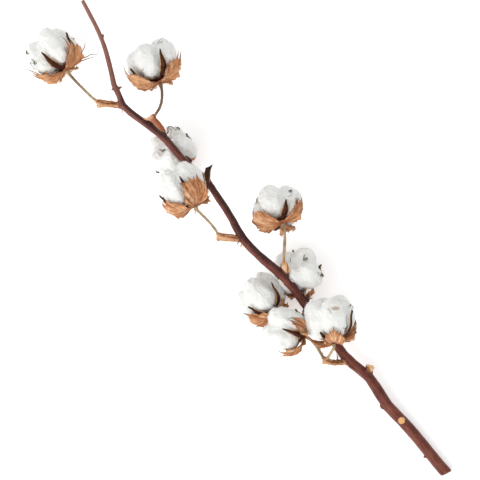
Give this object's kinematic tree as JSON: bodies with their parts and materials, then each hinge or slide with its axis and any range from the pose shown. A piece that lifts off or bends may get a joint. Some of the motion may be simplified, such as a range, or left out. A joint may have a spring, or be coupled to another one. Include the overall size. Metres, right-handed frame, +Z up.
{
  "type": "cotton stem",
  "caption": "cut dried cotton branch lying down: bent woody stem with short side twigs and open bolls of white cotton in dark burrs and toothed bracts",
  "frame": {"origin": "on the resting plane, under the middle of the bounding box", "axes": "+X along the branch from the thick cut end to the thin tip, +Y across it, +Z up from the surface it lies on"},
  "size_m": [0.598, 0.1408, 0.094],
  "materials": {
    "bark": "dry maroon-brown bark, satin, with tan cut faces",
    "bract": "dry papery ochre-tan leaf tissue, matt, veined",
    "burr": "dry woody seed case, dark maroon, slight sheen, cream inside",
    "lint": "white cotton lint, matt, fluffy"
  },
  "bodies": {
    "root": {"branch": "bark", "boll_1_bracts": "bract", "boll_1_burr": "burr", "boll_1_cotton": "lint", "boll_2_bracts": "bract", "boll_2_burr": "burr", "boll_2_cotton": "lint", "boll_3_bracts": "bract", "boll_3_burr": "burr", "boll_3_cotton": "lint", "boll_4_bracts": "bract", "boll_4_burr": "burr", "boll_4_cotton": "lint", "boll_5_bracts": "bract", "boll_5_burr": "burr", "boll_5_cotton": "lint", "boll_6_bracts": "bract", "boll_6_burr": "burr", "boll_6_cotton": "lint", "boll_7_bracts": "bract", "boll_7_burr": "burr", "boll_7_cotton": "lint", "boll_8_bracts": "bract", "boll_8_burr": "burr", "boll_8_cotton": "lint", "boll_9_bracts": "bract", "boll_9_burr": "burr", "boll_9_cotton": "lint"}
  },
  "joints": []
}
